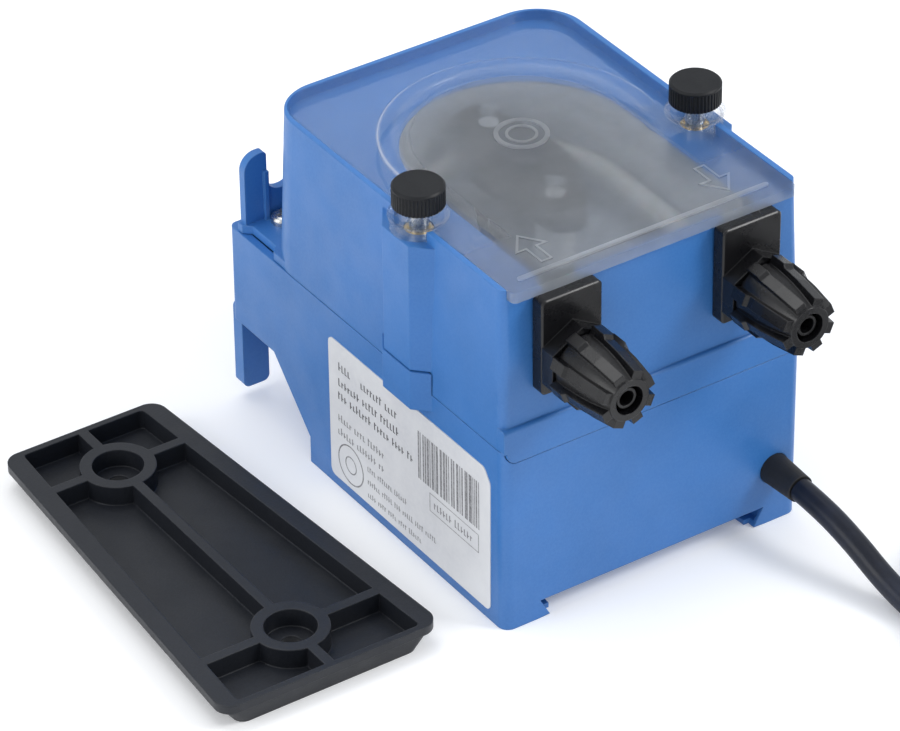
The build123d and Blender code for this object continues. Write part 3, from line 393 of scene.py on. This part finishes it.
def ink_block(bm, start, low, width, height):
    """A printed block on the label, start millimetres from its rear edge and low millimetres up."""
    face_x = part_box("label_plate")[0].x - INK_LIFT
    corners = ((0, 0), (width, 0), (width, height), (0, height))
    bm.faces.new([bm.verts.new((face_x, LABEL_REAR - (start + along) * MM, (low + up) * MM))
                  for along, up in corners])


def word_row(bm, draw, start, low, end, height, stroke):
    """One line of print: words of short upright strokes and small bars that spell nothing."""
    upright, bar_width, bar_height = stroke * 0.42, stroke * 0.5, 0.3 * stroke
    letter_pitch, word_gap = 1.35 * stroke, 1.1 * stroke
    at = start
    while at < end:
        for _ in range(draw.randint(3, 7)):
            if at + 1.2 * stroke > end:
                break
            tall = height * draw.uniform(0.62, 1.0)
            ink_block(bm, at, low, upright, tall)
            share = draw.choice((0.0, 0.38, 0.8))     # how far up the stroke its bar is
            ink_block(bm, at + upright, low + share * (tall - 0.25 * stroke), bar_width, bar_height)
            at += letter_pitch
        at += word_gap


def ring_mark(bm, centre, up, radius, width):
    """A printed ring, its centre that many millimetres along and up."""
    face_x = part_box("label_plate")[0].x - INK_LIFT
    steps = 48
    rings = []
    for r in (radius - width, radius):
        rings.append([bm.verts.new((face_x, LABEL_REAR - (centre + r * math.cos(turn)) * MM,
                                    (up + r * math.sin(turn)) * MM))
                      for turn in (2 * math.pi * k / steps for k in range(steps))])
    for k in range(steps):
        after = (k + 1) % steps
        bm.faces.new((rings[0][k], rings[0][after], rings[1][after], rings[1][k]))


def printed_label():
    """Three pieces of print: bold lines, fine lines with a frame and two rings, and a row of bars."""
    draw = random.Random(7)
    dark = label_ink("ink_dark", (0.060, 0.060, 0.065))
    grey = label_ink("ink_grey", (0.150, 0.150, 0.158))
    bold = bmesh.new()
    for line in BOLD_LINES:
        word_row(bold, draw, *line, 2.5, 1.05)
    mesh_object("label_print_bold", bold, dark, "housing")
    fine = bmesh.new()
    for line in MIDDLE_LINES:
        word_row(fine, draw, *line, 2.3, 0.95)
    for line in SMALL_LINES:
        word_row(fine, draw, *line, 1.8, 0.72)
    word_row(fine, draw, *FRAMED_LINE, 2.4, 1.0)
    for side in FRAME_SIDES:
        ink_block(fine, *side)
    ring_mark(fine, *RINGS_CENTRE, 5.9, 0.42)
    ring_mark(fine, *RINGS_CENTRE, 2.6, 0.35)
    mesh_object("label_print_fine", fine, grey, "housing")
    bars = bmesh.new()
    at = BARS_START
    while at < BARS_END:
        width = draw.choice((0.35, 0.35, 0.6, 0.9, 1.3))
        ink_block(bars, at, BARS_LOW, width, BARS_HEIGHT)
        at += width + draw.choice((0.35, 0.5, 0.8))
    mesh_object("label_bars", bars, grey, "housing")


# ------------------------------------------------------------------ mains cable
CABLE_R = 3.2 * MM
FLOOR_LIE = 3.3 * MM       # height of the cable's middle where it lies on the floor
CABLE_EXIT = (37.3 * MM, -73.5 * MM, 16.3 * MM)
LEAD = [
    CABLE_EXIT,
    (37.9 * MM, -83.0 * MM, 15.2 * MM),
    (39.1 * MM, -94.0 * MM, 11.2 * MM),
    (40.0 * MM, -105.0 * MM, 6.2 * MM),
    (40.9 * MM, -116.5 * MM, FLOOR_LIE),
    (41.5 * MM, -127.0 * MM, FLOOR_LIE),
]
COIL_CENTRE = (86.4 * MM, -137.5 * MM)
COIL_R = 38.4 * MM
TURN_GAP = 2 * CABLE_R
COIL_OUT = COIL_R + TURN_GAP
COIL_TURNS = 5.5
STEPS = 16                 # points to a turn
TAIL_X = COIL_CENTRE[0] + COIL_OUT
TAIL = [
    (TAIL_X + 0.2 * MM, COIL_CENTRE[1] + 1.0 * MM, FLOOR_LIE + TURN_GAP),
    (TAIL_X + 2.0 * MM, COIL_CENTRE[1] + 15.0 * MM, FLOOR_LIE + TURN_GAP - 1.6 * MM),
    (TAIL_X + 4.2 * MM, COIL_CENTRE[1] + 30.0 * MM, FLOOR_LIE + 1.7 * MM),
    (TAIL_X + 5.4 * MM, COIL_CENTRE[1] + 45.0 * MM, FLOOR_LIE),
    (TAIL_X + 5.6 * MM, COIL_CENTRE[1] + 58.0 * MM, FLOOR_LIE),
]


def coil_turns():
    """Three turns on the floor, inwards, then two and a half on top of them, outwards again."""
    out, middle, inner = COIL_OUT, COIL_R, COIL_R - TURN_GAP
    radii = (out, middle, inner, inner, middle, out, out)
    layers = (0, 0, 0, 1, 1, 1, 1)
    step_share = 0.24          # each turn ends with a step over to the next
    pulled_in = 3.0 * MM       # at the middle of the climb to the second layer
    fit = 1 / math.cos(math.pi / STEPS)     # lets the smooth line through these points keep its radius
    points = []
    for k in range(1, int(COIL_TURNS * STEPS)):
        turn, part = divmod(k / STEPS, 1)
        turn = int(turn)
        share = max(0.0, (part - 1 + step_share) / step_share)
        share = share * share * (3 - 2 * share)
        radius = radii[turn] + share * (radii[turn + 1] - radii[turn])
        climbing = layers[turn + 1] != layers[turn]
        if climbing:
            radius -= pulled_in * math.sin(math.pi * share)
        height = FLOOR_LIE + TURN_GAP * (layers[turn] + share * (layers[turn + 1] - layers[turn]))
        angle = math.pi + 2 * math.pi * k / STEPS
        points.append((COIL_CENTRE[0] + fit * radius * math.cos(angle),
                       COIL_CENTRE[1] + fit * radius * math.sin(angle), height))
    return points


def coil_tie():
    """A soft strap round the bundle of turns, at the front of the coil."""
    finish = moulded("tie_strap", (0.012, 0.012, 0.014), (0.04, 0.04, 0.045), 0.7,
                     grain=0.6 * MM, depth=0.1 * MM)
    play = 0.1 * MM
    low_z, high_z = play, FLOOR_LIE + TURN_GAP + CABLE_R + play
    near, far = COIL_R - TURN_GAP - CABLE_R - play, COIL_OUT + CABLE_R + play
    corner, thick, half_width = 3.0 * MM, 0.9 * MM, 5 * MM
    centres = ((far - corner, high_z - corner, 0), (near + corner, high_z - corner, 90),
               (near + corner, low_z + corner, 180), (far - corner, low_z + corner, 270))
    section = []
    for radius, height, first in centres:
        for k in range(7):
            turn = math.radians(first + 15 * k)
            section.append((radius, height, math.cos(turn), math.sin(turn)))
    bm = bmesh.new()
    loops = []
    for side in (-1, 1):
        for grow in (0.0, thick):
            loop = []
            for radius, height, c, s in section:
                # The strap is pressed thin where it runs under the cable
                lift = height + (corner + grow * max(0.0, s) + grow * 0.05) * s
                loop.append(bm.verts.new((COIL_CENTRE[0] + side * half_width,
                                          COIL_CENTRE[1] - radius - (corner + grow) * c, lift)))
            loops.append(loop)
    count = len(section)
    for a, b in ((0, 1), (1, 3), (3, 2), (2, 0)):
        for k in range(count):
            after = (k + 1) % count
            bm.faces.new((loops[a][k], loops[a][after], loops[b][after], loops[b][k]))
    tie = mesh_object("coil_tie", bm, finish, "housing", smooth=True)
    bevel = tie.modifiers.new("soft_edges", "BEVEL")
    bevel.width = 0.25 * MM
    bevel.segments = 2
    return tie


def mains_cable():
    """The whole cable as one smooth line: down from the housing, round the coil and out to its bare end."""
    data = bpy.data.curves.new("mains_cable_line", "CURVE")
    data.dimensions = "3D"
    data.bevel_depth = CABLE_R
    data.bevel_resolution = 8
    data.use_fill_caps = True
    data.resolution_u = 8
    spline = data.splines.new("NURBS")
    route = LEAD + coil_turns() + TAIL
    spline.points.add(len(route) - 1)
    for point, place in zip(spline.points, route):
        point.co = (*place, 1.0)
    spline.order_u = 3
    spline.use_endpoint_u = True
    data.materials.append(cable_jacket())
    cable = link_object("mains_cable_flex", data)
    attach(cable, "housing")
    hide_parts("mains_cable", "mains_cable_coil", "mains_cable_tail")
    coil_tie()


# ------------------------------------------------------------------ studio
CAMERA_PLACE = (-0.621869, -0.908240, 0.787825)
CAMERA_HEADING, CAMERA_TILT, CAMERA_ROLL = -33.586, 55.35, -0.678     # degrees
CAMERA_LENS, CAMERA_SENSOR = 209.37, 36.0                             # millimetres
FLOOR_Z = -0.05 * MM
FLOOR_HALF = 6.0


def camera():
    """A long lens that looks down on the pump's front and left side."""
    data = bpy.data.cameras.new("view_camera")
    data.lens = CAMERA_LENS
    data.sensor_width = CAMERA_SENSOR
    data.clip_end = 20.0
    view = link_object("view_camera", data)
    turn = (Matrix.Rotation(math.radians(CAMERA_HEADING), 4, "Z")
            @ Matrix.Rotation(math.radians(CAMERA_TILT), 4, "X")
            @ Matrix.Rotation(math.radians(CAMERA_ROLL), 4, "Z"))
    view.matrix_world = Matrix.Translation(CAMERA_PLACE) @ turn
    bpy.context.scene.camera = view


def softbox(name, place, target, size, power):
    """A rectangular lamp that faces the target."""
    data = bpy.data.lights.new(name, "AREA")
    data.shape = "RECTANGLE"
    data.size, data.size_y = size
    data.energy = power
    lamp = link_object(name, data)
    lamp.location = place
    lamp.rotation_euler = (Vector(target) - Vector(place)).to_track_quat("-Z", "Y").to_euler()


def studio():
    """White surroundings, three softboxes and a pale paper floor."""
    scene = bpy.context.scene
    scene.view_settings.view_transform = "Standard"
    world = bpy.data.worlds.new("studio_white")
    world.use_nodes = True
    background = world.node_tree.nodes["Background"]
    background.inputs["Color"].default_value = (0.93, 0.96, 1.0, 1)
    background.inputs["Strength"].default_value = 0.75
    scene.world = world
    focus = (0.0, -0.01, 0.05)
    softbox("key_softbox", (0.75, -0.75, 0.95), focus, (0.5, 0.5), 9.0)
    softbox("top_softbox", (-0.1, 0.35, 1.2), focus, (0.9, 0.6), 4.0)
    softbox("side_softbox", (-1.1, 0.1, 0.55), focus, (0.6, 0.8), 4.4)
    bm = bmesh.new()
    bm.faces.new([bm.verts.new((x * FLOOR_HALF, y * FLOOR_HALF, FLOOR_Z)) for x, y in
                  ((-1, -1), (1, -1), (1, 1), (-1, 1))])
    data = bpy.data.meshes.new("studio_floor")
    bm.to_mesh(data)
    bm.free()
    finish = Finish("floor_paper", {"IOR": 1.4, "Specular IOR Level": 0.2, "Emission Color": (1, 1, 1, 1),
                                    "Emission Strength": 0.14})
    cloud = finish.noise(0.4, 2.0)
    data.materials.append(finish.use(
        Base_Color=finish.mix(finish.spread(cloud, 0.0, 1.0), (0.90, 0.90, 0.905, 1), (0.92, 0.92, 0.92, 1)),
        Roughness=finish.spread(cloud, 0.6, 0.7)))
    link_object("studio_floor", data)


dress_cad_nodes()
printed_label()
mains_cable()
camera()
studio()
